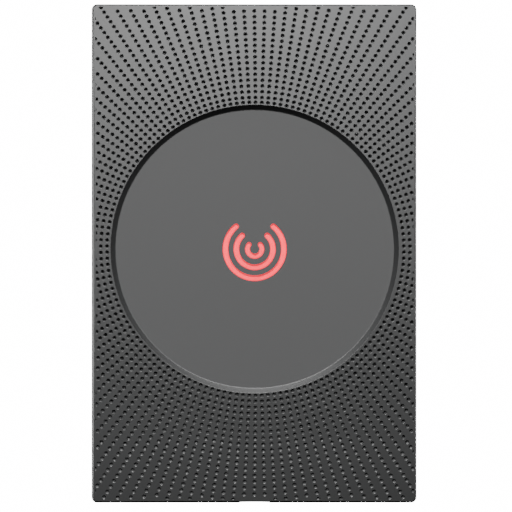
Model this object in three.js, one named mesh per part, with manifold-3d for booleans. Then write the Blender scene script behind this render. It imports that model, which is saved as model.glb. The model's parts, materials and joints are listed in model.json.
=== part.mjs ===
// A wall-mounted RFID card reader, in millimetres.
//
// The reader is modelled lying on its back: x runs across it, y runs up the wall and z runs out
// of the wall, so the wall is the plane z = 0. The exported group stands it up, with +Z up and
// its front facing -Y. The origin is the middle of the wall plate's back face.

import * as THREE from "three";
import { mergeVertices } from "three/addons/utils/BufferGeometryUtils.js";
import Module from "manifold-3d";

// ---- Driving dimensions ---------------------------------------------------------------------

const WIDTH = 75;                 // reader, across
const HEIGHT = 115;               // reader, up the wall
const CORNER_R = 1.3;             // plan radius of the case's corners
const RIM_TOP = 16;               // height of the target's rim above the wall: the highest point
const REAR_GAP = 1.2;             // shadow gap between the case and the wall
const DRAFT = Math.tan(THREE.MathUtils.degToRad(3));       // lean of the side walls
const CORE_DRAFT = Math.tan(THREE.MathUtils.degToRad(1));  // and of their inner faces
const WALL = 2.2;                 // thickness of the front cover
const GAP = 0.3;                  // clearance between neighbouring pieces
const SOLDER_GAP = 0.12;          // stand-off of a soldered piece from the board

const DOME_R = 300;               // radius of the domed face
const TARGET_Y = 1;               // centre of the target, above the middle of the case
const TARGET_R = 33.0;            // rim of the target recess
const TARGET_FLOOR_R = 31.8;      // flat floor of the recess
const TARGET_DEPTH = 1.2;
const DOME_TOP = RIM_TOP + TARGET_R ** 2 / (2 * DOME_R);
const FLOOR_TOP = RIM_TOP - TARGET_DEPTH;
const FLOOR_UNDER = FLOOR_TOP - 2;

const ARCS = [                    // the three arcs: centreline radius, stroke, half of the gap
  { r: 6.7, stroke: 1.3, gap: 39.5 },
  { r: 4.2, stroke: 1.3, gap: 43 },
  { r: 1.65, stroke: 1.15, gap: 51 },
];
const GUIDE_FIT = 0.1;            // clearance of the light guide in its slots
const GUIDE_SUNK = 0.35;          // the guide's top lies this far below the target's floor
const GUIDE_BASE = 0.8;           // thickness of the disc that its arcs stand on

const BAY = { x: WIDTH / 2 - WALL, top: HEIGHT / 2 - WALL, bottom: -47.1 };   // sealed space
const SCREW_BAY = { top: -48.9, bottom: -53.7 };
const REAR_COVER = { back: 2.6, front: 4.6, lipFront: 7, lipOutside: 1.6, lipInside: 2.8 };
const SEAL = { back: 4.9, front: 6.2, outside: 0.25, inside: 1.35 };
const BOSSES = [[-28.6, 49], [28.6, 49], [-28.6, -40.8], [28.6, -40.8]];
const BOSS = { r: 3.2, back: 6.3, roof: 12, boreR: 1.4, boreFront: 11 };
const POST = { r: 4, front: 6, headR: 2.9, headFront: 4.5, shankR: 1.7 };
const CASE_SCREW = { head: 2.75, tip: 10.6, headR: 2.5, shankR: 1.15, headHeight: 1.5 };

const BOARD = { w: 62, h: 82, y: 4.6, back: 9, front: 10.6, r: 1.5 };
const BOARD_POSTS = [[-26, 41], [26, 41], [-26, -31.5]];
const BOARD_POST = { r: 2.8, holeR: 1.3, pilotR: 1, pilotDepth: 2.3 };
const BOARD_SCREW = { tip: 12.5, headR: 2, shankR: 0.85, headHeight: 1.3 };
const COIL = { inner: 22, outer: 25.5 };
const BAFFLE = { inner: 9.8, outer: 11 };
const LED_RING_R = 5.2;

const WIRING = { w: 31, h: 25, y: -22, floor: 7.1, wall: 1.5 };    // bay in the rear cover
const HEADER = { w: 18, h: 5, y: -14.4, pins: 8, pitch: 2, back: 3.4, wall: 0.7, floor: 1.2 };
const PIN = { half: 0.25, holeHalf: 0.4, sunk: 0.5 };

const PLATE = { w: 69.6, h: 109, t: 2, r: 2.5 };
const HINGE = { x: 18, y: 53.6, z: 1.5, barR: 0.6, barHalf: 4.5, hookHalf: 2.4 };
const LUG = { half: 5, top: -49.9, bottom: -52.7, front: 7.8, screwZ: 4.6 };
const WALL_SLOT = { w: 4.4, length: 8, headW: 8.4, headLength: 12, headBack: 0.9 };
const WALL_SLOTS = [[0, 41.65, true], [0, -41.65, true], [-30.15, 0, false], [30.15, 0, false]];
const SCREW = { r: 1.45, headR: 2.7, head: -57.1, headTop: -55.4, tip: -49.2, socketR: 1.25 };
const WASHER = { r: 3, bottom: -55.3, top: -54.8 };
const INSERT_R = 2.15;
const SCREW_SLOT = { headR: 3.5, shankR: 1.9, blockHalf: 6.5, blockFront: 10 };

const TAMPER = { x: 24, y: -31.5, travel: 1, plateHoleR: 3.2, coverHoleR: 2.6 };
const PLUNGER = { r: 1.3, collarR: 2, collar: 5.4, collarThick: 0.5, stemR: 0.8 };
const SWITCH = { half: 3.6, mouth: 4.9, boreR: 2.3, boreTop: 8.3 };
const SPRING = { r: 1.5, wireR: 0.15, turns: 2.5 };

// ---- Solids ---------------------------------------------------------------------------------

const wasm = await Module();
wasm.setup();

function toSolid(geometry) {
  const bare = geometry.clone();
  bare.deleteAttribute("normal");
  bare.deleteAttribute("uv");
  const merged = mergeVertices(bare, 1e-5);
  return new wasm.Manifold(new wasm.Mesh({
    numProp: 3,
    vertProperties: new Float32Array(merged.attributes.position.array),
    triVerts: new Uint32Array(merged.index.array),
  }));
}

function toGeometry(solid) {
  const mesh = solid.getMesh();
  const geometry = new THREE.BufferGeometry();
  geometry.setAttribute("position", new THREE.BufferAttribute(mesh.vertProperties, 3));
  geometry.setIndex(new THREE.BufferAttribute(mesh.triVerts, 1));
  geometry.computeVertexNormals();
  return geometry;
}

const join = (first, ...others) => others.reduce((sum, other) => sum.add(other), first);
const cut = (body, ...tools) => tools.reduce((rest, tool) => rest.subtract(tool), body);

// ---- Basic shapes, each a solid ---------------------------------------------------------------

function roundedRect(w, h, r, cx = 0, cy = 0) {
  const [x, y] = [w / 2, h / 2];
  const shape = new THREE.Shape();
  shape.absarc(cx + x - r, cy - y + r, r, -Math.PI / 2, 0);
  shape.absarc(cx + x - r, cy + y - r, r, 0, Math.PI / 2);
  shape.absarc(cx - x + r, cy + y - r, r, Math.PI / 2, Math.PI);
  shape.absarc(cx - x + r, cy - y + r, r, Math.PI, 1.5 * Math.PI);
  return shape;
}

// A shape of the x-y plane, extruded from one height above the wall to another.
function prism(shape, z0, z1, curveSegments = 3) {
  const geometry = new THREE.ExtrudeGeometry(shape, {
    depth: z1 - z0, bevelEnabled: false, curveSegments,
  });
  return geometry.translate(0, 0, z0);
}

const slab = (shape, z0, z1, curveSegments) => toSolid(prism(shape, z0, z1, curveSegments));

function block(x0, x1, y0, y1, z0, z1) {
  const geometry = new THREE.BoxGeometry(x1 - x0, y1 - y0, z1 - z0);
  return toSolid(geometry.translate((x0 + x1) / 2, (y0 + y1) / 2, (z0 + z1) / 2));
}

function rod(r, cx, cy, z0, z1, sides = 12) {
  const geometry = new THREE.CylinderGeometry(r, r, z1 - z0, sides);
  return toSolid(geometry.rotateX(Math.PI / 2).translate(cx, cy, (z0 + z1) / 2));
}

// A turned piece: its profile is a list of [radius, height above the wall].
function turned(profile, cx, cy, sides = 32) {
  const points = profile.map(([r, z]) => new THREE.Vector2(r, z));
  const geometry = new THREE.LatheGeometry(points, sides);
  return toSolid(geometry.rotateX(Math.PI / 2).translate(cx, cy, 0));
}

const ring = (inner, outer, cx, cy, z0, z1, sides) => turned(
  [[inner, z0], [outer, z0], [outer, z1], [inner, z1], [inner, z0]], cx, cy, sides);

// A rod that lies across the reader, along x.
function crossBar(r, y, z, x0, x1, sides = 12) {
  const geometry = new THREE.CylinderGeometry(r, r, x1 - x0, sides);
  return toSolid(geometry.rotateZ(Math.PI / 2).translate((x0 + x1) / 2, y, z));
}

// A rod that stands up the wall, along y.
function uprightBar(r, x, z, y0, y1, sides = 16) {
  const geometry = new THREE.CylinderGeometry(r, r, y1 - y0, sides);
  return toSolid(geometry.translate(x, (y0 + y1) / 2, z));
}

// An outline in the y-z plane, extruded across the reader from x0 to x1.
function sideProfile(shape, x0, x1, curveSegments = 6) {
  const geometry = new THREE.ExtrudeGeometry(shape, {
    depth: x1 - x0, bevelEnabled: false, curveSegments,
  });
  const turn = new THREE.Matrix4().makeBasis(
    new THREE.Vector3(0, 1, 0), new THREE.Vector3(0, 0, 1), new THREE.Vector3(1, 0, 0));
  return toSolid(geometry.applyMatrix4(turn).translate(x0, 0, 0));
}

// A slot with round ends, along x or along y.
function obround(length, width, cx, cy, z0, z1, upright) {
  const [r, reach] = [width / 2, (length - width) / 2];
  const [dx, dy, turn] = upright ? [0, reach, Math.PI / 2] : [reach, 0, 0];
  const shape = new THREE.Shape();
  shape.absarc(cx + dx, cy + dy, r, turn - Math.PI / 2, turn + Math.PI / 2);
  shape.absarc(cx - dx, cy - dy, r, turn + Math.PI / 2, turn + 1.5 * Math.PI);
  return slab(shape, z0, z1, 6);
}

// A block of the case's outline whose sides lean inwards on the way to the front.
function caseBlock(inset, z0, z1, draft) {
  const [w, h] = [WIDTH - 2 * inset, HEIGHT - 2 * inset];
  const geometry = prism(roundedRect(w, h, Math.max(CORNER_R - inset / 2, 0.4)), z0, z1);
  const lean = draft * (z1 - z0);
  const position = geometry.attributes.position;
  for (let i = 0; i < position.count; i += 1) {
    if (position.getZ(i) > z1 - 0.001) {
      position.setX(i, position.getX(i) * (1 - 2 * lean / w));
      position.setY(i, position.getY(i) * (1 - 2 * lean / h));
    }
  }
  return toSolid(geometry);
}

// The space under the domed face, lowered by a thickness.
function underDome(lowered) {
  const reach = 76;
  const rings = [0, TARGET_R, 45, 58, reach];
  const profile = rings.map((r) => [r, DOME_TOP - lowered - r ** 2 / (2 * DOME_R)]);
  return turned([[0, -5], [reach, -5], ...profile.reverse()], 0, TARGET_Y, 40);
}

// A bar bent round the target's centre, open at the top and with round ends.
function arcShape({ r, stroke, gap }, fit) {
  const half = stroke / 2 - fit;
  const start = Math.PI / 2 + THREE.MathUtils.degToRad(gap);
  const end = Math.PI / 2 + 2 * Math.PI - THREE.MathUtils.degToRad(gap);
  const at = (radius, angle) => new THREE.Vector2(
    radius * Math.cos(angle), TARGET_Y + radius * Math.sin(angle));
  const sweep = (middle, radius, from, to, steps) => Array.from({ length: steps }, (_, i) => {
    const angle = THREE.MathUtils.lerp(from, to, i / steps);
    return new THREE.Vector2(radius * Math.cos(angle), radius * Math.sin(angle)).add(middle);
  });
  const centre = at(0, 0);
  return new THREE.Shape([
    ...sweep(centre, r + half, start, end, 16),
    ...sweep(at(r, end), half, end, end + Math.PI, 4),
    ...sweep(centre, r - half, end, start, 16),
    ...sweep(at(r, start), half, start + Math.PI, start + 2 * Math.PI, 4),
  ]);
}

// ---- Materials ------------------------------------------------------------------------------

const material = (color, roughness, metalness = 0) => new THREE.MeshStandardMaterial({
  color, roughness, metalness,
});

const LOOKS = {
  casePlastic: material(0x3b3c3d, 0.55),
  platePlastic: material(0x2a2b2c, 0.7),
  rubber: material(0x1a1a1b, 0.85),
  redGuide: material(0xfa6c76, 0.35),
  whitePlastic: material(0xe9e9e4, 0.5),
  board: material(0x1f6b3c, 0.45),
  chip: material(0x18181a, 0.5),
  copper: material(0xb86b3a, 0.35, 0.9),
  brass: material(0xc5a253, 0.35, 0.9),
  steel: material(0xb4b7ba, 0.35, 0.95),
  zinc: material(0xc9ccce, 0.4, 0.9),
  ivory: material(0xe7dfc6, 0.5),
  tin: material(0xd4d6d6, 0.3, 0.95),
};

const reader = new THREE.Group();
reader.rotation.x = Math.PI / 2;

function add(name, solid, look) {
  const mesh = new THREE.Mesh(toGeometry(solid), look);
  mesh.name = name;
  reader.add(mesh);
}

// ---- Front cover ----------------------------------------------------------------------------

// The sealed space behind the face: flat under the target, and following the dome around it.
function innerSpace(bottom, top) {
  return caseBlock(WALL, REAR_GAP - 1, RIM_TOP, CORE_DRAFT)
    .intersect(underDome(WALL))
    .intersect(block(-WIDTH, WIDTH, bottom, top, REAR_GAP - 1, FLOOR_UNDER));
}

function targetRecess() {
  const [rise, run] = [TARGET_DEPTH, TARGET_R - TARGET_FLOOR_R];
  return turned([
    [0, FLOOR_TOP],
    [TARGET_FLOOR_R, FLOOR_TOP],
    [TARGET_FLOOR_R + 0.5 * run, FLOOR_TOP + 0.28 * rise],
    [TARGET_R, FLOOR_TOP + rise],
    [TARGET_R, RIM_TOP + 4],
    [0, RIM_TOP + 4],
  ], 0, TARGET_Y, 48);
}

// A U-shaped channel, open towards the wall, for the security screw's head or shank.
const screwChannel = (r, y0, y1) => join(
  block(-r, r, y0, y1, 0, LUG.screwZ), uprightBar(r, 0, LUG.screwZ, y0, y1));

function frontCover() {
  const shell = caseBlock(0, REAR_GAP, RIM_TOP + 3, DRAFT).intersect(underDome(0));
  const hollow = cut(
    shell,
    innerSpace(BAY.bottom, HEIGHT),
    innerSpace(-HEIGHT, SCREW_BAY.top),
    targetRecess(),
    ...ARCS.map((arc) => slab(arcShape(arc, 0), FLOOR_UNDER - 1, FLOOR_TOP + 1)),
  );
  const { headR, shankR, blockHalf, blockFront } = SCREW_SLOT;
  const screwBlock = block(
    -blockHalf, blockHalf, -HEIGHT / 2 + 1, SCREW_BAY.bottom, REAR_GAP, blockFront);
  const pillars = BOSSES.map(([x, y]) => rod(BOSS.r, x, y, BOSS.back, BOSS.roof));
  const posts = BOARD_POSTS.map(([x, y]) => rod(
    BOARD_POST.r, x, y, BOARD.front + GAP, BOSS.roof + 1));
  const body = join(hollow, screwBlock, ...pillars, ...posts);
  const bores = BOSSES.map(([x, y]) => rod(BOSS.boreR, x, y, BOSS.back - 1, BOSS.boreFront));
  const pilots = BOARD_POSTS.map(([x, y]) => rod(
    BOARD_POST.pilotR, x, y, BOARD.front, BOARD.front + BOARD_POST.pilotDepth));
  const plateRoom = block(
    -BAY.x, BAY.x, -PLATE.h / 2 - 0.4, BAY.top, REAR_GAP - 1, PLATE.t + 0.4);
  return cut(
    body,
    plateRoom,
    screwChannel(headR, -HEIGHT / 2 - 1, SCREW_BAY.bottom - 1),
    screwChannel(shankR, -HEIGHT / 2, SCREW_BAY.bottom + 1),
    ...bores,
    ...pilots,
  );
}

add("front_cover", frontCover(), LOOKS.casePlastic);

// ---- Rear cover, its seal and its screws ------------------------------------------------------

const coverShape = (inset, r = 1) => roundedRect(
  2 * (BAY.x - inset), BAY.top - BAY.bottom - 2 * inset, r, 0, (BAY.top + BAY.bottom) / 2);

function frame(outerInset, innerInset, z0, z1) {
  return cut(slab(coverShape(outerInset), z0, z1), slab(coverShape(innerInset, 0.8), z0 - 1, z1 + 1));
}

function hangingBar(x) {
  const { y, z, barR, barHalf } = HINGE;
  const ears = [-1, 1].map((side) => {
    const x0 = x + side * (barHalf - 0.6);
    return block(x0 - 0.6, x0 + 0.6, y - 0.7, y + 0.7, z - barR, REAR_COVER.back + 0.5);
  });
  return join(crossBar(barR, y, z, x - barHalf, x + barHalf), ...ears);
}

function rearCover() {
  const { w, h, y, floor, wall } = WIRING;
  const posts = BOSSES.map(([x, py]) => rod(POST.r, x, py, REAR_COVER.back + 0.5, POST.front));
  const body = join(
    slab(coverShape(GAP), REAR_COVER.back, REAR_COVER.front),
    frame(REAR_COVER.lipOutside, REAR_COVER.lipInside, REAR_COVER.front - 0.5,
      REAR_COVER.lipFront),
    slab(roundedRect(w + 2 * wall, h + 2 * wall, 2.5, 0, y), REAR_COVER.back, floor + wall),
    ...posts,
  );
  const screwHoles = BOSSES.flatMap(([x, py]) => [
    rod(POST.headR, x, py, 0, POST.headFront), rod(POST.shankR, x, py, 0, POST.front + 2),
  ]);
  const hookPockets = [-1, 1].map((side) => block(
    side * HINGE.x - 3.1, side * HINGE.x + 3.1, 51.2, 55.3, 0, 3.6));
  const hollowed = cut(
    body,
    slab(roundedRect(w, h, 1.5, 0, y), 0, floor),
    slab(roundedRect(HEADER.w + 3, HEADER.h + 3, 0.6, 0, HEADER.y), floor - 1, floor + wall + 1),
    rod(TAMPER.coverHoleR, TAMPER.x, TAMPER.y, 0, REAR_COVER.lipFront + 1),
    ...screwHoles,
    ...hookPockets,
  );
  return join(hollowed, hangingBar(-HINGE.x), hangingBar(HINGE.x));
}

add("rear_cover", rearCover(), LOOKS.casePlastic);
add("cover_seal", frame(SEAL.outside, SEAL.inside, SEAL.back, SEAL.front), LOOKS.rubber);

// A pan-head screw driven out of the wall's direction, with a cross recess in its head.
function panScrew(x, y, { head, tip, headR, shankR, headHeight }) {
  const body = turned([
    [0, head], [headR * 0.8, head], [headR, head + headHeight * 0.45], [headR, head + headHeight],
    [shankR, head + headHeight], [shankR, tip - shankR], [0, tip],
  ], x, y, 10);
  const [arm, deep] = [headR * 0.55, headHeight * 0.6];
  return cut(
    body,
    block(x - arm, x + arm, y - 0.3, y + 0.3, head - 1, head + deep),
    block(x - 0.3, x + 0.3, y - arm, y + arm, head - 1, head + deep),
  );
}

BOSSES.forEach(([x, y], i) => {
  add(`case_screw_${i + 1}`, panScrew(x, y, CASE_SCREW), LOOKS.zinc);
});

// ---- Light guide, baffle and diodes -----------------------------------------------------------

function lightGuide() {
  const base = [FLOOR_UNDER - GAP - GUIDE_BASE, FLOOR_UNDER - GAP];
  const arms = ARCS.map((arc) => slab(
    arcShape(arc, GUIDE_FIT), base[1] - 0.2, FLOOR_TOP - GUIDE_SUNK));
  return join(rod(BAFFLE.inner - 0.6, 0, TARGET_Y, ...base, 32), ...arms);
}

add("light_guide", lightGuide(), LOOKS.redGuide);
add("light_baffle", ring(BAFFLE.inner, BAFFLE.outer, 0, TARGET_Y,
  BOARD.front + GAP, FLOOR_UNDER - GAP, 32), LOOKS.whitePlastic);

for (let i = 0; i < 4; i += 1) {
  const angle = THREE.MathUtils.degToRad(45 + 90 * i);
  const [x, y] = [LED_RING_R * Math.cos(angle), TARGET_Y + LED_RING_R * Math.sin(angle)];
  const z0 = BOARD.front + SOLDER_GAP;
  const led = join(
    block(x - 1.0, x + 1.0, y - 0.6, y + 0.6, z0, z0 + 0.25),
    block(x - 0.65, x + 0.65, y - 0.6, y + 0.6, z0 + 0.2, z0 + 0.6),
  );
  add(`status_led_${i + 1}`, led, LOOKS.ivory);
}

// ---- Board and what it carries ----------------------------------------------------------------

function mainBoard() {
  const holes = BOARD_POSTS.map(([x, y]) => rod(
    BOARD_POST.holeR, x, y, BOARD.back - 1, BOARD.front + 1));
  return cut(slab(roundedRect(BOARD.w, BOARD.h, BOARD.r, 0, BOARD.y), BOARD.back, BOARD.front),
    ...holes);
}

add("main_board", mainBoard(), LOOKS.board);
add("antenna_coil", ring(COIL.inner, COIL.outer, 0, TARGET_Y,
  BOARD.front + GAP, FLOOR_UNDER - 0.4, 48), LOOKS.copper);

BOARD_POSTS.forEach(([x, y], i) => {
  const head = BOARD.back - SOLDER_GAP - BOARD_SCREW.headHeight;
  add(`board_screw_${i + 1}`, panScrew(x, y, { ...BOARD_SCREW, head }), LOOKS.zinc);
});

// A chip on the board's rear face, with a row of legs along two or four of its sides.
function chip(cx, cy, w, h, thick, legs, legPitch, fourSided) {
  const back = BOARD.back - SOLDER_GAP;
  const body = block(cx - w / 2, cx + w / 2, cy - h / 2, cy + h / 2, back - thick, back - 0.15);
  const rows = [];
  for (let i = 0; i < legs; i += 1) {
    const along = (i - (legs - 1) / 2) * legPitch;
    for (const side of [-1, 1]) {
      const [lx, ly] = [cx + side * w / 2, cy + side * h / 2];
      rows.push(block(lx - 0.7, lx + 0.7, cy + along - 0.2, cy + along + 0.2, back - 0.5, back));
      if (fourSided) {
        rows.push(block(cx + along - 0.2, cx + along + 0.2, ly - 0.7, ly + 0.7, back - 0.5, back));
      }
    }
  }
  return join(body, ...rows);
}

add("microcontroller", chip(-13, 30, 7, 7, 1.2, 4, 1.5, true), LOOKS.chip);
add("reader_chip", chip(12, 31, 7.5, 10.3, 2, 7, 1.27, false), LOOKS.chip);
add("line_driver", chip(-20, 6, 4, 5, 1.6, 4, 1.27, false), LOOKS.chip);
add("voltage_regulator", chip(21, 14, 3.6, 6.5, 1.7, 3, 2, false), LOOKS.chip);

function crystalCan(cx, cy) {
  const back = BOARD.back - SOLDER_GAP;
  return join(
    slab(roundedRect(11, 4.7, 2.3, cx, cy), back - 0.4, back),
    slab(roundedRect(10.2, 3.8, 1.88, cx, cy), back - 3.3, back - 0.3),
  );
}

add("crystal", crystalCan(-13, 40), LOOKS.tin);

function capacitor(cx, cy) {
  const back = BOARD.back - SOLDER_GAP;
  const base = block(cx - 2.7, cx + 2.7, cy - 2.7, cy + 2.7, back - 0.6, back);
  return join(base, turned([
    [0, back - 3.9], [2.2, back - 3.9], [2.5, back - 3.6], [2.5, back - 0.5], [0, back - 0.5],
  ], cx, cy, 20));
}

add("bulk_capacitor_1", capacitor(17, 3), LOOKS.tin);
add("bulk_capacitor_2", capacitor(24.5, 3), LOOKS.tin);

function buzzer(cx, cy) {
  const back = BOARD.back - SOLDER_GAP;
  return turned([
    [0, back - 2.6], [1, back - 2.6], [1, back - 3.6], [5.6, back - 3.6],
    [6, back - 3.2], [6, back], [0, back],
  ], cx, cy, 28);
}

add("buzzer", buzzer(0, 12), LOOKS.chip);

// ---- Wiring header ----------------------------------------------------------------------------

const pinX = (i) => (i - (HEADER.pins - 1) / 2) * HEADER.pitch;

function cableHeader() {
  const { w, h, y, back, wall, floor } = HEADER;
  const front = BOARD.back - GAP;
  const [inX, inY] = [w / 2 - wall, h / 2 - wall];
  const shroud = cut(
    block(-w / 2, w / 2, y - h / 2, y + h / 2, back, front),
    block(-inX, inX, y - inY, y + inY, back - 1, front - floor),
  );
  const keys = [-1, 1].map((side) => block(
    side * 5 - 0.6, side * 5 + 0.6, y - h / 2 - 1, y - h / 2 + 0.9, back - 1, back + 3));
  const pinHoles = Array.from({ length: HEADER.pins }, (_, i) => block(
    pinX(i) - PIN.holeHalf, pinX(i) + PIN.holeHalf, y - PIN.holeHalf, y + PIN.holeHalf,
    back, front + 1));
  return cut(shroud, ...keys, ...pinHoles);
}

add("cable_header", cableHeader(), LOOKS.ivory);

for (let i = 0; i < HEADER.pins; i += 1) {
  const pin = block(pinX(i) - PIN.half, pinX(i) + PIN.half, HEADER.y - PIN.half,
    HEADER.y + PIN.half, HEADER.back + PIN.sunk, BOARD.back - SOLDER_GAP);
  add(`header_pin_${i + 1}`, pin, LOOKS.tin);
}

const headerSeal = cut(
  slab(roundedRect(HEADER.w + 2.5, HEADER.h + 2.5, 0.5, 0, HEADER.y),
    WIRING.floor + 0.1, WIRING.floor + WIRING.wall - 0.1),
  block(-HEADER.w / 2 - 0.25, HEADER.w / 2 + 0.25,
    HEADER.y - HEADER.h / 2 - 0.25, HEADER.y + HEADER.h / 2 + 0.25, 0, BOARD.front),
);
add("header_seal", headerSeal, LOOKS.rubber);

// ---- Tamper switch ----------------------------------------------------------------------------

const tamperSwitch = cut(
  block(TAMPER.x - SWITCH.half, TAMPER.x + SWITCH.half, TAMPER.y - SWITCH.half,
    TAMPER.y + SWITCH.half, SWITCH.mouth, BOARD.back - SOLDER_GAP),
  rod(PLUNGER.r + 0.3, TAMPER.x, TAMPER.y, SWITCH.mouth - 1, SWITCH.boreTop, 14),
  rod(SWITCH.boreR, TAMPER.x, TAMPER.y, SWITCH.mouth + 0.3, SWITCH.boreTop, 14),
);
add("tamper_switch", tamperSwitch, LOOKS.chip);

const collarTop = PLUNGER.collar + PLUNGER.collarThick;
const stemTop = SWITCH.boreTop - TAMPER.travel - GAP;
add("tamper_plunger", turned([
  [0, 0], [PLUNGER.r - 0.4, 0], [PLUNGER.r, 0.4], [PLUNGER.r, PLUNGER.collar],
  [PLUNGER.collarR, PLUNGER.collar], [PLUNGER.collarR, collarTop], [PLUNGER.stemR, collarTop],
  [PLUNGER.stemR, stemTop], [0, stemTop],
], TAMPER.x, TAMPER.y, 14), LOOKS.whitePlastic);

class Helix extends THREE.Curve {
  constructor(r, z0, z1, turns, cx, cy) {
    super();
    Object.assign(this, { r, z0, z1, turns, cx, cy });
  }

  getPoint(t, target = new THREE.Vector3()) {
    const angle = 2 * Math.PI * this.turns * t;
    return target.set(this.cx + this.r * Math.cos(angle), this.cy + this.r * Math.sin(angle),
      THREE.MathUtils.lerp(this.z0, this.z1, t));
  }
}

function tamperSpring() {
  const section = new THREE.Shape().absarc(0, 0, SPRING.wireR, 0, 2 * Math.PI);
  const path = new Helix(
    SPRING.r, collarTop + GAP, SWITCH.boreTop - GAP, SPRING.turns, TAMPER.x, TAMPER.y);
  return toSolid(new THREE.ExtrudeGeometry(section, {
    steps: 26, curveSegments: 2, bevelEnabled: false, extrudePath: path,
  }));
}

add("tamper_spring", tamperSpring(), LOOKS.steel);

// ---- Wall plate, lug and security screw ---------------------------------------------------------

// A cradle that a hanging bar rests in, open at the top.
function hook(x) {
  const { y, z, barR, hookHalf } = HINGE;
  const inner = barR + GAP;
  const outer = inner + 0.6;
  const shape = new THREE.Shape();
  shape.moveTo(50.8, 0);
  shape.lineTo(y, 0);
  shape.lineTo(y, z - inner);
  shape.absarc(y, z, inner, 1.5 * Math.PI, Math.PI / 2, true);
  shape.lineTo(y, z + outer);
  shape.absarc(y, z, outer, Math.PI / 2, Math.PI, false);
  shape.lineTo(50.8, PLATE.t);
  return sideProfile(shape, x - hookHalf, x + hookHalf);
}

function wallPlate() {
  const { w, h, t, r } = PLATE;
  const through = [-1, t + 1];
  const notches = [-1, 1].map((side) => block(
    side * HINGE.x - 5.6, side * HINGE.x + 5.6, 51.4, 60, ...through));
  const wallSlots = WALL_SLOTS.flatMap(([x, y, upright]) => [
    obround(WALL_SLOT.length, WALL_SLOT.w, x, y, ...through, upright),
    obround(WALL_SLOT.headLength, WALL_SLOT.headW, x, y, WALL_SLOT.headBack, t + 1, upright),
  ]);
  const window = slab(roundedRect(WIRING.w, WIRING.h, 3, 0, WIRING.y), ...through);
  const plate = cut(
    slab(roundedRect(w, h, r), 0, t),
    window, rod(TAMPER.plateHoleR, TAMPER.x, TAMPER.y, ...through, 24), ...notches, ...wallSlots,
  );
  const lug = cut(
    block(-LUG.half, LUG.half, LUG.bottom, LUG.top, t - 0.5, LUG.front),
    uprightBar(INSERT_R + 0.15, 0, LUG.screwZ, LUG.bottom - 1, LUG.top + 1),
  );
  return join(plate, lug, hook(-HINGE.x), hook(HINGE.x));
}

add("wall_plate", wallPlate(), LOOKS.platePlastic);

const lugInsert = cut(
  uprightBar(INSERT_R, 0, LUG.screwZ, LUG.bottom + 0.1, LUG.top - 0.1),
  uprightBar(SCREW.r + 0.15, 0, LUG.screwZ, LUG.bottom - 1, LUG.top + 1),
);
add("lug_insert", lugInsert, LOOKS.brass);

const washer = cut(
  uprightBar(WASHER.r, 0, LUG.screwZ, WASHER.bottom, WASHER.top),
  uprightBar(SCREW.r + 0.15, 0, LUG.screwZ, WASHER.bottom - 1, WASHER.top + 1),
);
add("lock_washer", washer, LOOKS.steel);

const securityScrew = cut(
  join(
    uprightBar(SCREW.r, 0, LUG.screwZ, SCREW.headTop - 0.2, SCREW.tip),
    uprightBar(SCREW.headR, 0, LUG.screwZ, SCREW.head, SCREW.headTop),
  ),
  uprightBar(SCREW.socketR, 0, LUG.screwZ, SCREW.head - 1, SCREW.head + 1.1, 6),
);
add("security_screw", securityScrew, LOOKS.steel);

export default reader;
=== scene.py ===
"""The looks of a wall-mounted RFID card reader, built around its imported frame, in metres."""
import json
import math

import bmesh
import bpy
import numpy as np
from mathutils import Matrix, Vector

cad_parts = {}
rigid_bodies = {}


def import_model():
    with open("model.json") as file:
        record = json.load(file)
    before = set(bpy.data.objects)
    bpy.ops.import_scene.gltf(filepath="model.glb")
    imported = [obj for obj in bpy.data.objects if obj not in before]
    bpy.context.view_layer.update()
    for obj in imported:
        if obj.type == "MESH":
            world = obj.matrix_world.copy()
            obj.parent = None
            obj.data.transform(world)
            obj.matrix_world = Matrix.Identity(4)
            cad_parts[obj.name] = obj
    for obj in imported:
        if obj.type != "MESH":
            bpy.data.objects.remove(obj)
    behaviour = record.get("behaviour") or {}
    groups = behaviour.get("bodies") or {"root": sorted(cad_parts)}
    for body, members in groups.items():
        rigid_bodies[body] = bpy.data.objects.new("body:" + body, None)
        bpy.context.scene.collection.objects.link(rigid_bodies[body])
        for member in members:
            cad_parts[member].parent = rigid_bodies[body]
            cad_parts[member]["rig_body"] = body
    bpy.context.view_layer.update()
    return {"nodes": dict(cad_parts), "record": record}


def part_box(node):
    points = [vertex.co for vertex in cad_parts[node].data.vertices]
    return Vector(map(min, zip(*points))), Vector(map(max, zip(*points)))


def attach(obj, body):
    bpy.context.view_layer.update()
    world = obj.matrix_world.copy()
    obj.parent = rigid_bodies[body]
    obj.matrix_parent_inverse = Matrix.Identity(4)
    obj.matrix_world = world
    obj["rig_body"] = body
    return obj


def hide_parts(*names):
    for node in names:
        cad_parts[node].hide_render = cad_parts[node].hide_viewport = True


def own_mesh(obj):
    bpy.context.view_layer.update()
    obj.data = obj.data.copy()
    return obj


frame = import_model()
SLOTS = {row["node"]: row["material_slot"] for row in frame["record"]["subparts"]}

# ---- Sizes, from the frame and from the design's driving dimensions ---------------------------

MM = 0.001
COVER_LO, COVER_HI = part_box("front_cover")
GUIDE_LO, GUIDE_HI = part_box("light_guide")
HALF_W = (COVER_HI.x - COVER_LO.x) / 2
HALF_H = (COVER_HI.z - COVER_LO.z) / 2
REAR_EDGE = -COVER_HI.y                    # depths are measured out from the wall, towards -Y
RIM_FRONT = -COVER_LO.y
TARGET_Z = (GUIDE_HI.z + GUIDE_LO.z) / 2

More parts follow.
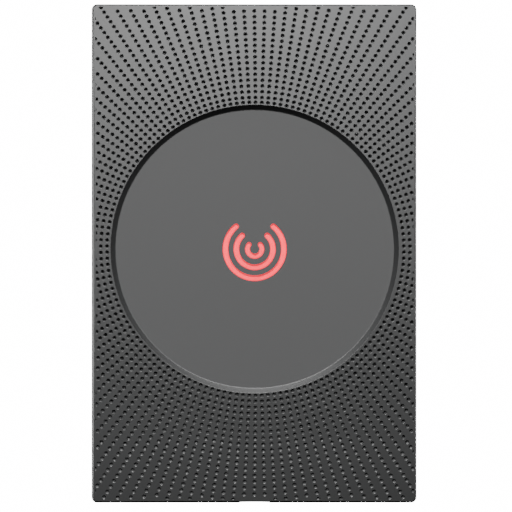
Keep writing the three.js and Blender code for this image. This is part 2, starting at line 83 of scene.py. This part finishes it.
CORNER_R = 1.3 * MM
LEAST_CORNER_R = 0.3 * MM                  # of an outline moved far in
DRAFT = math.tan(math.radians(3))
DOME_R = 300 * MM
TARGET_R = 33.0 * MM
FLOOR_R = 31.8 * MM
TARGET_DEPTH = 1.2 * MM
FLOOR = RIM_FRONT - TARGET_DEPTH
FLOOR_THICK = 2 * MM
DOME_TOP = RIM_FRONT + TARGET_R**2 / (2 * DOME_R)
FRONT_EDGE_R = 0.22 * MM
REAR_EDGE_R = 0.25 * MM
MID_WALL = 1.1 * MM                        # half of the front cover's wall
HEAD_SLOT_ROOM = 0.5 * MM                  # round the security screw's washer
RECESS_WALL = [                            # its profile: share of the way out, share of the way up
    (0.06, 0.01), (0.14, 0.05), (0.2, 0.11), (0.9, 0.88), (0.96, 0.95), (0.985, 0.985),
]
FACE_STARTS = TARGET_R + 0.05 * MM         # just outside the recess's upper edge
FACE_LOOPS = 14
ON_SURFACE = 0.012 * MM                    # points nearer than this to a surface are shaded by it
FORM_ANGLE = 35                            # degrees; sharper edges stay sharp in the shading
COVER_ANGLE = 48                           # the same on the cover, whose dimples have 12 sides

DIMPLE_ROWS = 150                          # one of them starts straight up
DIMPLE_FIRST_R = 34.02 * MM
DIMPLE_PITCH = 1.4 * MM
DIMPLE_SQUASH = 0.9823                     # the rings are a little wider than tall
DIMPLE_SHIFT = (0.32 * MM, 0.34 * MM)      # of the innermost ring's middle
DIMPLE_SAG = (0.12, 0.381)                 # how far wider rings move aside and down, per radius squared
DIMPLE_R = 0.5 * MM
DIMPLE_CORE_R = 0.27 * MM                  # blind hole at the bottom of each countersink
DIMPLE_CORE_TOP = 0.3 * MM                 # depth at which the hole starts
DIMPLE_DEPTH = 0.9 * MM
SHALLOW_CORE_R = 0.36 * MM                 # the dimples turn into shallow dishes towards the bottom
SHALLOW_DEPTH = 0.24 * MM
DISH_FADE = (-46 * MM, -8 * MM)            # heights between which the dishes turn into holes
DIMPLE_SIDES = 12
DIMPLE_MARGIN = 0.38 * MM                  # plain border left along the case's edge
DIMPLE_CLEAR = 0.06 * MM                   # from the recess's edge
CORE_NARROWS = 0.9                         # a hole's end, as a share of its mouth
DISH_FLOOR = 0.02 * MM                     # how far a dish's floor sinks in its middle
PLUG_PROUD = 0.3 * MM                      # cutting plugs stand this far out of the face

ARCS = [                                   # centreline radius, stroke, half of the gap
    (6.7 * MM, 1.3 * MM, math.radians(39.5)),
    (4.2 * MM, 1.3 * MM, math.radians(43)),
    (1.65 * MM, 1.15 * MM, math.radians(51)),
]
ARC_STEPS = 64
TIP_STEPS = 10
GUIDE_BASE = [                             # its rounded edge: how far in, and depth from the back
    (0.1 * MM, 0), (0, 0.1 * MM), (0, 0.7 * MM), (0.1 * MM, 0.8 * MM),
]
GUIDE_RIB_FOOT = 0.5 * MM                  # above the guide's back, so inside its base
GUIDE_RIB_FIT = 0.06 * MM                  # between a rib and its slot's wall
GUIDE_RIB_TOP = [                          # its rounded end: gap to the slot's wall, depth under the top
    (GUIDE_RIB_FIT, 0.24 * MM), (0.09 * MM, 0.15 * MM), (0.16 * MM, 0.11 * MM),
    (0.24 * MM, 0.1 * MM),
]


def dome_depth(radius):
    """Depth of the domed face at a distance from the target's centre."""
    return DOME_TOP - radius**2 / (2 * DOME_R)


def face_point(radius, angle, depth):
    """Points given by distance and angle round the target's centre, and by depth."""
    x = radius * np.cos(angle)
    z = TARGET_Z + radius * np.sin(angle)
    return np.stack(np.broadcast_arrays(x, -np.asarray(depth), z), axis=-1)


# ---- Mesh tools -------------------------------------------------------------------------------


def new_piece(name, vertices, faces):
    mesh = bpy.data.meshes.new(name)
    mesh.from_pydata([tuple(v) for v in np.asarray(vertices)], [], faces)
    mesh.validate()
    piece = bpy.data.objects.new(name, mesh)
    bpy.context.scene.collection.objects.link(piece)
    tidy_mesh(piece)
    return piece


def tidy_mesh(piece, weld=0.0):
    """Turns a piece's faces outwards, after welding corners that lie together."""
    work = bmesh.new()
    work.from_mesh(piece.data)
    if weld:
        bmesh.ops.remove_doubles(work, verts=work.verts, dist=weld)
    bmesh.ops.recalc_face_normals(work, faces=work.faces)
    work.to_mesh(piece.data)
    work.free()


def loft(name, loops):
    """A solid through a stack of loops with the same number of points, capped at both ends."""
    count = len(loops[0])
    faces = [tuple(range(count))]
    for level in range(len(loops) - 1):
        low, high = level * count, (level + 1) * count
        for i in range(count):
            j = (i + 1) % count
            faces.append((low + i, low + j, high + j, high + i))
    faces.append(tuple(range((len(loops) - 1) * count, len(loops) * count)))
    return new_piece(name, np.concatenate(loops), faces)


def combine(base, tool, operation):
    """Joins or cuts base with tool, and removes tool."""
    modifier = base.modifiers.new("combine", "BOOLEAN")
    modifier.object = tool
    modifier.operation = operation
    modifier.solver = "MANIFOLD"
    apply_modifiers(base)
    bpy.data.objects.remove(tool)
    return base


def apply_modifiers(piece):
    graph = bpy.context.evaluated_depsgraph_get()
    done = bpy.data.meshes.new_from_object(piece.evaluated_get(graph))
    piece.modifiers.clear()
    piece.data = done


def smooth(piece, sharp_above):
    piece.data.shade_smooth()
    piece.data.set_sharp_from_angle(angle=math.radians(sharp_above))


def set_true_normals(piece, surface):
    """Shades corners by the true surface where surface(points) gives it, and by their faces elsewhere."""
    mesh = piece.data
    corner_count = len(mesh.loops)
    normals = np.empty(corner_count * 3, np.float32)
    mesh.corner_normals.foreach_get("vector", normals)
    normals = normals.reshape(-1, 3)
    points = np.empty(len(mesh.vertices) * 3, np.float32)
    mesh.vertices.foreach_get("co", points)
    points = points.reshape(-1, 3).astype(float)
    corner_point = np.empty(corner_count, np.int32)
    mesh.loops.foreach_get("vertex_index", corner_point)
    starts = np.empty(len(mesh.polygons), np.int32)
    mesh.polygons.foreach_get("loop_start", starts)
    sizes = np.empty(len(mesh.polygons), np.int32)
    mesh.polygons.foreach_get("loop_total", sizes)
    for on_surface, true_normal in surface(points):
        whole = np.logical_and.reduceat(on_surface[corner_point], starts)
        chosen = np.repeat(whole, sizes)
        normals[chosen] = true_normal[corner_point[chosen]]
    mesh.normals_split_custom_set(normals.tolist())


def weld_copy(node, name):
    """A copy of a CAD node's mesh as a new piece, with its corners welded."""
    piece = bpy.data.objects.new(name, frame["nodes"][node].data.copy())
    bpy.context.scene.collection.objects.link(piece)
    piece.data.materials.clear()
    tidy_mesh(piece, weld=0.001 * MM)
    return piece


def stand_for(piece, node):
    """A finished piece takes over from a CAD node, with its body, material slot and finish."""
    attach(piece, frame["nodes"][node]["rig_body"])
    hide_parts(node)
    give_finish(piece, node)
    return piece


def give_finish(piece, node):
    piece.data.materials.clear()
    piece.data.materials.append(FINISHES[SLOTS[node]])


# ---- Materials --------------------------------------------------------------------------------


class Nodes:
    """A material's node tree, with short calls for the nodes that these materials use."""

    def __init__(self, name):
        self.material = bpy.data.materials.new(name)
        self.material.use_nodes = True
        self.tree = self.material.node_tree
        self.shader = self.tree.nodes["Principled BSDF"]
        self.place = self.add("ShaderNodeTexCoord").outputs["Object"]

    def add(self, kind, **settings):
        node = self.tree.nodes.new(kind)
        for key, value in settings.items():
            setattr(node, key, value)
        return node

    def link(self, source, target):
        self.tree.links.new(source, target)

    def noise(self, scale, detail):
        node = self.add("ShaderNodeTexNoise")
        node.inputs["Scale"].default_value = scale
        node.inputs["Detail"].default_value = detail
        self.link(self.place, node.inputs["Vector"])
        return node.outputs["Fac"]

    def ramp(self, source, low, high, start=0.3, end=0.7):
        node = self.add("ShaderNodeValToRGB")
        node.color_ramp.elements[0].position = start
        node.color_ramp.elements[1].position = end
        node.color_ramp.elements[0].color = (*low, 1)
        node.color_ramp.elements[1].color = (*high, 1)
        self.link(source, node.inputs["Fac"])
        return node.outputs["Color"]

    def spread(self, source, low, high):
        node = self.add("ShaderNodeMapRange")
        node.inputs["From Min"].default_value = 0.3
        node.inputs["From Max"].default_value = 0.7
        node.inputs["To Min"].default_value = low
        node.inputs["To Max"].default_value = high
        self.link(source, node.inputs["Value"])
        return node.outputs["Result"]

    def bump(self, source, height, strength=1.0):
        node = self.add("ShaderNodeBump")
        node.inputs["Strength"].default_value = strength
        node.inputs["Distance"].default_value = height
        self.link(source, node.inputs["Height"])
        self.link(node.outputs["Normal"], self.shader.inputs["Normal"])


def shade(colour, factor):
    return tuple(channel * factor for channel in colour)


def grained(name, colour, roughness, grain_size, grain_height, contrast=0.12, metallic=0.0,
            sheen=0.5, wear=0.03):
    """A surface with a fine, even grain: moulded plastic, rubber, plated or cast metal."""
    nodes = Nodes(name)
    nodes.shader.inputs["Specular IOR Level"].default_value = sheen
    grain = nodes.noise(1 / grain_size, detail=4)
    patches = nodes.noise(1 / (40 * grain_size), detail=2)
    tint = nodes.ramp(grain, shade(colour, 1 - contrast), shade(colour, 1 + contrast))
    nodes.link(tint, nodes.shader.inputs["Base Color"])
    nodes.link(nodes.spread(patches, roughness - wear, roughness + wear),
               nodes.shader.inputs["Roughness"])
    nodes.shader.inputs["Metallic"].default_value = metallic
    nodes.bump(grain, grain_height)
    return nodes.material


CASE = grained("case_plastic", (0.0085, 0.0090, 0.0092), 0.6, 0.22 * MM, 0.006 * MM,
               sheen=1.0, wear=0.006)
PLATE = grained("plate_plastic", (0.022, 0.023, 0.024), 0.55, 0.3 * MM, 0.01 * MM)
RUBBER = grained("seal_rubber", (0.012, 0.012, 0.013), 0.75, 0.25 * MM, 0.01 * MM)
WHITE = grained("white_plastic", (0.72, 0.72, 0.69), 0.5, 0.4 * MM, 0.004 * MM, 0.03)
IVORY = grained("header_plastic", (0.68, 0.61, 0.45), 0.45, 0.4 * MM, 0.005 * MM, 0.04)
CHIP = grained("chip_plastic", (0.014, 0.014, 0.015), 0.5, 0.15 * MM, 0.006 * MM)
TIN = grained("tinned_metal", (0.62, 0.63, 0.63), 0.3, 0.3 * MM, 0.003 * MM, 0.05, 1.0)
ZINC = grained("zinc_screw", (0.55, 0.57, 0.60), 0.32, 0.3 * MM, 0.004 * MM, 0.08, 1.0)
STEEL = grained("spring_steel", (0.46, 0.47, 0.49), 0.3, 0.25 * MM, 0.003 * MM, 0.06, 1.0)
BRASS = grained("brass_insert", (0.58, 0.38, 0.11), 0.3, 0.3 * MM, 0.003 * MM, 0.06, 1.0)
LED = grained("led_package", (0.80, 0.66, 0.36), 0.25, 0.3 * MM, 0.002 * MM, 0.05)


def lit_red():
    """Translucent red guide plastic, lit from behind."""
    nodes = Nodes("light_guide")
    cloud = nodes.noise(1 / (0.8 * MM), detail=2)
    colour = nodes.ramp(cloud, (0.90, 0.016, 0.042), (0.95, 0.024, 0.060))
    nodes.link(colour, nodes.shader.inputs["Base Color"])
    nodes.link(colour, nodes.shader.inputs["Emission Color"])
    nodes.shader.inputs["Emission Strength"].default_value = 1.3
    nodes.shader.inputs["Roughness"].default_value = 0.45
    nodes.shader.inputs["Specular IOR Level"].default_value = 0.25
    nodes.shader.inputs["Subsurface Weight"].default_value = 0.3
    nodes.shader.inputs["Subsurface Radius"].default_value = (1.0, 0.25, 0.2)
    nodes.shader.inputs["Subsurface Scale"].default_value = 0.4 * MM
    nodes.bump(cloud, 0.01 * MM)
    return nodes.material


def solder_mask():
    """Green solder mask over faint copper tracks."""
    nodes = Nodes("circuit_board")
    tracks = nodes.add("ShaderNodeTexBrick")
    tracks.inputs["Scale"].default_value = 1 / (6 * MM)
    tracks.inputs["Mortar Size"].default_value = 0.04
    tracks.inputs["Color1"].default_value = (0.012, 0.10, 0.035, 1)
    tracks.inputs["Color2"].default_value = (0.016, 0.12, 0.042, 1)
    tracks.inputs["Mortar"].default_value = (0.03, 0.22, 0.07, 1)
    turn = nodes.add("ShaderNodeMapping")
    turn.inputs["Rotation"].default_value = (math.pi / 2, 0, 0)
    nodes.link(nodes.place, turn.inputs["Vector"])
    nodes.link(turn.outputs["Vector"], tracks.inputs["Vector"])
    nodes.link(tracks.outputs["Color"], nodes.shader.inputs["Base Color"])
    nodes.shader.inputs["Roughness"].default_value = 0.3
    nodes.bump(tracks.outputs["Fac"], 0.02 * MM, 0.4)
    return nodes.material


def copper_winding():
    """Enamelled copper wire, wound in rings round the target's axis."""
    nodes = Nodes("copper_wire")
    place = nodes.add("ShaderNodeMapping")
    place.inputs["Location"].default_value = (0, 0, -TARGET_Z)
    nodes.link(nodes.place, place.inputs["Vector"])
    rings = nodes.add("ShaderNodeTexWave", wave_type="RINGS", rings_direction="Y")
    rings.inputs["Scale"].default_value = 1 / (1.6 * MM)
    nodes.link(place.outputs["Vector"], rings.inputs["Vector"])
    tint = nodes.ramp(rings.outputs["Fac"], (0.20, 0.06, 0.02), (0.62, 0.24, 0.08), 0.1, 0.8)
    nodes.link(tint, nodes.shader.inputs["Base Color"])
    nodes.shader.inputs["Metallic"].default_value = 1.0
    nodes.shader.inputs["Roughness"].default_value = 0.3
    nodes.bump(rings.outputs["Fac"], 0.08 * MM)
    return nodes.material


RED = lit_red()
BOARD = solder_mask()
COPPER = copper_winding()

FINISHES = {
    "case_plastic": CASE, "plate_plastic": PLATE, "seal_rubber": RUBBER, "light_guide": RED,
    "white_plastic": WHITE, "header_plastic": IVORY, "led_package": LED, "circuit_board": BOARD,
    "copper_wire": COPPER, "chip_plastic": CHIP, "tinned_metal": TIN, "zinc_screw": ZINC,
    "spring_steel": STEEL, "brass_insert": BRASS,
}

# ---- Front cover ------------------------------------------------------------------------------


def outline_reach(angle, inset):
    """Distance from the target's centre to the case's outline, moved in by inset."""
    across, up = np.cos(angle), np.sin(angle)
    half_w, half_h = HALF_W - inset, HALF_H - inset
    corner_r = np.maximum(CORNER_R - inset / 2, LEAST_CORNER_R)
    to_side = half_w / np.maximum(np.abs(across), 1e-9)
    to_end = (half_h - TARGET_Z * np.sign(up)) / np.maximum(np.abs(up), 1e-9)
    straight = np.minimum(to_side, to_end)
    x, z = straight * across, straight * up + TARGET_Z
    in_corner = (np.abs(x) > half_w - corner_r) & (np.abs(z) > half_h - corner_r)
    corner_x = (half_w - corner_r) * np.sign(across)
    corner_z = (half_h - corner_r) * np.sign(up) - TARGET_Z
    along = corner_x * across + corner_z * up
    inside = along**2 - (corner_x**2 + corner_z**2 - corner_r**2)
    return np.where(in_corner, along + np.sqrt(np.maximum(inside, 0)), straight)


def outline_angles():
    """Angles round the target: two to each row of dimples, and more round the case's corners."""
    even = np.linspace(0, 2 * np.pi, 2 * DIMPLE_ROWS, endpoint=False)
    angles = list(even)
    for side in (-1, 1):
        for end in (-1, 1):
            corner = (side * (HALF_W - CORNER_R), end * (HALF_H - CORNER_R) - TARGET_Z)
            for turn in np.linspace(0, np.pi / 2, 9):
                x = corner[0] + side * CORNER_R * math.cos(turn)
                z = corner[1] + end * CORNER_R * math.sin(turn)
                angles.append(math.atan2(z, x) % (2 * np.pi))
    angles = np.array(sorted(angles))
    apart = np.append(np.diff(angles) > 1e-4, True)
    return angles[apart]


def case_solid():
    """The front cover's outer form, solid: recess, rim, dome, rounded edges and drafted sides."""
    angle = outline_angles()
    loops = [face_point(np.full_like(angle, FLOOR_R), angle, FLOOR)]

    for share_out, share_up in RECESS_WALL:
        radius = FLOOR_R + (TARGET_R - FLOOR_R) * share_out
        loops.append(face_point(np.full_like(angle, radius), angle,
                                FLOOR + TARGET_DEPTH * share_up))

    guess = outline_reach(angle, DRAFT * (RIM_FRONT - REAR_EDGE))
    lean_in = DRAFT * (dome_depth(guess) - REAR_EDGE)
    face_end = outline_reach(angle, lean_in + FRONT_EDGE_R)
    for share in np.linspace(0, 1, FACE_LOOPS) ** 1.1:
        radius = FACE_STARTS + (face_end - FACE_STARTS) * share
        loops.append(face_point(radius, angle, dome_depth(radius)))

    edge_depth = dome_depth(face_end)
    for turn in np.linspace(0, math.pi / 2, 6)[1:]:
        radius = outline_reach(angle, lean_in + FRONT_EDGE_R * (1 - math.sin(turn)))
        loops.append(face_point(radius, angle, edge_depth - FRONT_EDGE_R * (1 - math.cos(turn))))

    side_front = edge_depth - FRONT_EDGE_R
    side_back = REAR_EDGE + REAR_EDGE_R
    for share in (0.33, 0.67, 1):
        depth = side_front + (side_back - side_front) * share
        loops.append(face_point(outline_reach(angle, DRAFT * (depth - REAR_EDGE)), angle, depth))
    for turn in (math.pi / 6, math.pi / 3, math.pi / 2):
        radius = outline_reach(angle, REAR_EDGE_R * (1 - math.cos(turn)))
        depth = side_back - REAR_EDGE_R * math.sin(turn)
        loops.append(face_point(radius, angle, np.full_like(angle, depth)))
    return loft("front_shell", loops)


def inner_space():
    """The space inside the CAD cover: a block that ends within its walls, less the cover."""
    angle = outline_angles()
    floor = FLOOR - FLOOR_THICK / 2
    loops = []
    for share in (0.5, 0.7, 0.85, 1):
        radius = outline_reach(angle, MID_WALL + DRAFT * (RIM_FRONT - REAR_EDGE)) * share
        depth = np.minimum(dome_depth(radius) - MID_WALL, floor)
        loops.append(face_point(radius, angle, depth))
    loops.append(face_point(outline_reach(angle, MID_WALL), angle, REAR_EDGE))
    loops.append(face_point(outline_reach(angle, MID_WALL), angle, -MM))
    return combine(loft("inner_space", loops), weld_copy("front_cover", "cover_copy"), "DIFFERENCE")


def dimple_centres():
    """Distance and angle of each dimple: rows that fan out from the target, on hanging rings."""
    rings = np.arange(DIMPLE_FIRST_R, math.hypot(HALF_W, HALF_H + TARGET_Z), DIMPLE_PITCH)
    rows = math.pi / 2 + np.arange(DIMPLE_ROWS) * 2 * math.pi / DIMPLE_ROWS
    ring, row = (grid.ravel() for grid in np.meshgrid(rings, rows))
    x = ring * np.cos(row) + DIMPLE_SHIFT[0] - DIMPLE_SAG[0] * ring**2
    z = DIMPLE_SQUASH * ring * np.sin(row) + DIMPLE_SHIFT[1] - DIMPLE_SAG[1] * ring**2
    radius = np.maximum(np.hypot(x, z), TARGET_R + DIMPLE_R + DIMPLE_CLEAR)
    angle = np.arctan2(z, x)
    edge = DRAFT * (dome_depth(radius) - REAR_EDGE) + DIMPLE_MARGIN
    x = np.abs(radius * np.cos(angle))
    z = np.abs(TARGET_Z + radius * np.sin(angle))
    kept = (x < HALF_W - edge + DIMPLE_R / 2) & (z < HALF_H - edge)
    return radius[kept], angle[kept]


def dimple_tools():
    """One closed, tapered plug for each dimple, square to the dome, in a single mesh."""
    radius, angle = dimple_centres()
    centre = face_point(radius, angle, dome_depth(radius))
    lean = radius / DOME_R
    out = np.stack([lean * np.cos(angle), -np.ones_like(angle), lean * np.sin(angle)], axis=-1)
    out /= np.linalg.norm(out, axis=-1, keepdims=True)
    side = np.cross(out, (0, 0, 1))
    side /= np.linalg.norm(side, axis=-1, keepdims=True)
    up = np.cross(side, out)
    mouth = [(DIMPLE_R, PLUG_PROUD), (DIMPLE_R, 0)]
    deep = mouth + [(DIMPLE_CORE_R, -DIMPLE_CORE_TOP),
                    (CORE_NARROWS * DIMPLE_CORE_R, -DIMPLE_DEPTH)]
    shallow = mouth + [(SHALLOW_CORE_R, -SHALLOW_DEPTH),
                       (CORE_NARROWS * SHALLOW_CORE_R, -SHALLOW_DEPTH - DISH_FLOOR)]
    turn = np.arange(DIMPLE_SIDES) * 2 * math.pi / DIMPLE_SIDES

    def plug(profile):
        return np.concatenate([np.stack([size * np.cos(turn), size * np.sin(turn),
                                         np.full_like(turn, height)], axis=-1)
                               for size, height in profile])

    share = np.clip((centre[:, 2] - DISH_FADE[0]) / (DISH_FADE[1] - DISH_FADE[0]), 0, 1)
    local = plug(shallow) + share[:, None, None] * (plug(deep) - plug(shallow))
    axes = np.stack([side, up, out], axis=1)
    vertices = (centre[:, None, :] + np.einsum("npk,nkc->npc", local, axes)).reshape(-1, 3)
    per_plug = local.shape[1]
    faces = []
    for start in range(0, len(vertices), per_plug):
        for level in range(len(deep) - 1):
            low = start + level * DIMPLE_SIDES
            for i in range(DIMPLE_SIDES):
                j = (i + 1) % DIMPLE_SIDES
                faces.append((low + i, low + j, low + DIMPLE_SIDES + j, low + DIMPLE_SIDES + i))
        last = start + (len(deep) - 1) * DIMPLE_SIDES
        faces.append(tuple(range(start, start + DIMPLE_SIDES)))
        faces.append(tuple(range(last, last + DIMPLE_SIDES)))
    return new_piece("dimple_tools", vertices, faces)


def dimple_bounds():
    """The part of the face that dimples may cover: its outline, less a plain border."""
    angle = outline_angles()
    return loft("dimple_bounds", [
        face_point(outline_reach(angle, DIMPLE_MARGIN + DRAFT * (depth - REAR_EDGE)), angle, depth)
        for depth in (REAR_EDGE, RIM_FRONT + MM)])


def arc_outline(radius, stroke, gap, fit=0.0):
    """Outline of an arc that is open at the top, with round ends, as angles and distances."""
    half = stroke / 2 - fit
    start, end = math.pi / 2 + gap, 2.5 * math.pi - gap

    def sweep(centre, size, first, last, count):
        turn = np.linspace(first, last, count, endpoint=False)
        return np.stack([centre[0] + size * np.cos(turn), centre[1] + size * np.sin(turn)], axis=-1)

    def tip(angle):
        return (radius * math.cos(angle), radius * math.sin(angle))

    return np.concatenate([
        sweep((0, 0), radius + half, start, end, ARC_STEPS),
        sweep(tip(end), half, end, end + math.pi, TIP_STEPS),
        sweep((0, 0), radius - half, end, start, ARC_STEPS),
        sweep(tip(start), half, start + math.pi, start + 2 * math.pi, TIP_STEPS),
    ])


def face_loop(outline, depth):
    """An outline in the plane of the target, as points at a depth."""
    x, z = outline[:, 0], outline[:, 1] + TARGET_Z
    return np.stack([x, np.full_like(x, -depth), z], axis=-1)


def head_slot():
    """The open-backed pocket in the bottom edge that the security screw's head sits in."""
    lo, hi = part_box("lock_washer")
    centre_depth = -(lo.y + hi.y) / 2
    half = (hi.x - lo.x) / 2 + HEAD_SLOT_ROOM
    turn = np.linspace(0, math.pi, 25)
    outline = [(half * math.cos(t), centre_depth + half * math.sin(t)) for t in turn]
    outline += [(-half, -MM), (half, -MM)]
    loops = [np.array([(x, -depth, z) for x, depth in outline])
             for z in (-HALF_H - MM, hi.z + 0.1 * MM)]
    return loft("head_slot", loops)


def face_surfaces(points):
    """Which points lie on the domed face and on the target's floor, and the true normals there."""
    x, depth, z = points[:, 0], -points[:, 1], points[:, 2] - TARGET_Z
    radius = np.hypot(x, z)
    dome = (np.abs(depth - dome_depth(radius)) < ON_SURFACE) & (radius > TARGET_R)
    dome_normal = np.stack([x / DOME_R, np.full_like(x, -1), z / DOME_R], axis=-1)
    dome_normal /= np.linalg.norm(dome_normal, axis=-1, keepdims=True)
    floor = (np.abs(depth - FLOOR) < ON_SURFACE) & (radius < FLOOR_R + ON_SURFACE)
    return [(dome, dome_normal), (floor, np.tile([0.0, -1.0, 0.0], (len(points), 1)))]


def front_cover():
    shell = case_solid()
    combine(shell, inner_space(), "DIFFERENCE")
    combine(shell, head_slot(), "DIFFERENCE")
    for radius, stroke, gap in ARCS:
        outline = arc_outline(radius, stroke, gap)
        slot = loft("slot", [face_loop(outline, depth)
                             for depth in (FLOOR - FLOOR_THICK - MM, FLOOR + MM)])
        combine(shell, slot, "DIFFERENCE")
    dimples = combine(dimple_tools(), dimple_bounds(), "INTERSECT")
    combine(shell, dimples, "DIFFERENCE")
    smooth(shell, COVER_ANGLE)
    set_true_normals(shell, face_surfaces)
    return stand_for(shell, "front_cover")


# ---- Light guide ------------------------------------------------------------------------------


def light_guide():
    base_back, top = -GUIDE_HI.y, -GUIDE_LO.y
    base_r = (GUIDE_HI.x - GUIDE_LO.x) / 2
    turn = np.linspace(0, 2 * math.pi, 72, endpoint=False)
    loops = []
    for inset, depth in GUIDE_BASE:
        size = base_r - inset
        ring = np.stack([size * np.cos(turn), size * np.sin(turn)], axis=-1)
        loops.append(face_loop(ring, base_back + depth))
    guide = loft("light_guide_body", loops)
    rib_profile = [(GUIDE_RIB_FIT, base_back + GUIDE_RIB_FOOT)]
    rib_profile += [(fit, top - under) for fit, under in GUIDE_RIB_TOP]
    for radius, stroke, gap in ARCS:
        rib = loft("rib", [face_loop(arc_outline(radius, stroke, gap, fit), depth)
                           for fit, depth in rib_profile])
        combine(guide, rib, "UNION")
    smooth(guide, FORM_ANGLE)
    return stand_for(guide, "light_guide")


# ---- Other moulded and cut pieces ---------------------------------------------------------------


SOFTENED = {"wall_plate": 0.2 * MM, "rear_cover": 0.15 * MM, "cable_header": 0.08 * MM}


def softened(node, edge):
    """A CAD node's form with its sharp edges rounded, as a moulding has them."""
    piece = weld_copy(node, node + "_body")
    flat = bmesh.new()
    flat.from_mesh(piece.data)
    bmesh.ops.dissolve_limit(flat, angle_limit=math.radians(1), verts=flat.verts, edges=flat.edges)
    flat.to_mesh(piece.data)
    flat.free()
    bevel = piece.modifiers.new("edges", "BEVEL")
    bevel.width = edge
    bevel.segments = 2
    bevel.limit_method = "ANGLE"
    bevel.angle_limit = math.radians(40)
    apply_modifiers(piece)
    smooth(piece, FORM_ANGLE)
    flats = piece.modifiers.new("flats", "WEIGHTED_NORMAL")
    flats.weight = 100
    flats.keep_sharp = True
    apply_modifiers(piece)
    return stand_for(piece, node)


def tamper_spring():
    """The plunger's coil spring, as a welded, smooth-shaded copy of its CAD node with a mesh of its own.
    """
    piece = weld_copy("tamper_spring", "plunger_coil")
    smooth(piece, FORM_ANGLE)
    stand_for(piece, "tamper_spring")
    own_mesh(piece)


def other_pieces():
    """Every CAD node gets its finish, and those still shown as they are get smooth shading."""
    for node, obj in frame["nodes"].items():
        give_finish(obj, node)
        if not obj.hide_render:
            smooth(obj, FORM_ANGLE)


# ---- Studio -----------------------------------------------------------------------------------

FLOOR_SIZE = 12
FLOOR_HEIGHT = -2
FLOOR_GLOW = 7
SKY_STRENGTH = 16
SOFTBOXES = [                              # name, place, size, watts
    ("key", (-0.1, -1.27, 1.11), (0.3, 0.4), 69),
    ("overhead", (-0.12, -0.22, 1.3), (1.0, 0.5), 7),
    ("fill", (-0.3, -2.6, 0.2), (2.0, 2.0), 2.5),
    ("rim", (-1.5, 1.9, 0.2), (1.0, 2.0), 30),
    ("rim", (1.5, 1.9, 0.2), (1.0, 2.0), 30),
]

LENS = 600                                 # millimetres: long, so the view is nearly parallel
SENSOR = 36
VIEW_HEIGHT = 0.1181                       # at the case's rear edge
VIEW_AIM = Vector((0.44 * MM, -REAR_EDGE, -0.6 * MM))
VIEW_FROM_LEFT = math.radians(0.6)


def level_plane(name, size, height):
    half = size / 2
    piece = new_piece(name, [(-half, -half, 0), (half, -half, 0), (half, half, 0),
                             (-half, half, 0)], [(0, 1, 2, 3)])
    piece.location.z = height
    return piece


def soft_light(name, place, size, power):
    """A white softbox that faces the middle of the wall plate's back."""
    data = bpy.data.lights.new(name, "AREA")
    data.shape = "RECTANGLE"
    data.size, data.size_y = size
    data.energy = power
    light = bpy.data.objects.new(name, data)
    light.location = place
    light.rotation_euler = (-Vector(place)).to_track_quat("-Z", "Y").to_euler()
    bpy.context.scene.collection.objects.link(light)


def floor_paint():
    """Pale paint that glows enough to look white, whatever the lights leave unlit."""
    nodes = Nodes("floor_paint")
    mottle = nodes.noise(14, detail=3)
    colour = nodes.ramp(mottle, (0.80, 0.80, 0.81), (0.84, 0.84, 0.85))
    nodes.link(colour, nodes.shader.inputs["Base Color"])
    nodes.link(colour, nodes.shader.inputs["Emission Color"])
    nodes.shader.inputs["Roughness"].default_value = 0.8
    nodes.shader.inputs["Emission Strength"].default_value = FLOOR_GLOW
    return nodes.material


def studio():
    """Only the camera sees the pale floor and sky, so the softboxes alone light the reader."""
    floor = level_plane("floor", FLOOR_SIZE, FLOOR_HEIGHT)
    floor.data.materials.append(floor_paint())
    floor.visible_diffuse = False
    floor.visible_glossy = False

    world = bpy.data.worlds.new("studio")
    world.use_nodes = True
    sky = world.node_tree.nodes["Background"]
    sky.inputs["Color"].default_value = (1, 1, 1, 1)
    sky.inputs["Strength"].default_value = SKY_STRENGTH
    world.cycles_visibility.diffuse = False
    world.cycles_visibility.glossy = False
    world.cycles_visibility.transmission = False
    bpy.context.scene.world = world

    for light in SOFTBOXES:
        soft_light(*light)


def camera():
    data = bpy.data.cameras.new("camera")
    data.lens = LENS
    data.sensor_width = SENSOR
    distance = VIEW_HEIGHT * LENS / SENSOR
    towards = Vector((math.sin(VIEW_FROM_LEFT), math.cos(VIEW_FROM_LEFT), 0))
    view = bpy.data.objects.new("camera", data)
    view.location = VIEW_AIM - towards * distance
    view.rotation_euler = towards.to_track_quat("-Z", "Y").to_euler()
    bpy.context.scene.collection.objects.link(view)
    bpy.context.scene.camera = view


front_cover()
light_guide()
for node, edge in SOFTENED.items():
    softened(node, edge)
tamper_spring()
other_pieces()
studio()
camera()
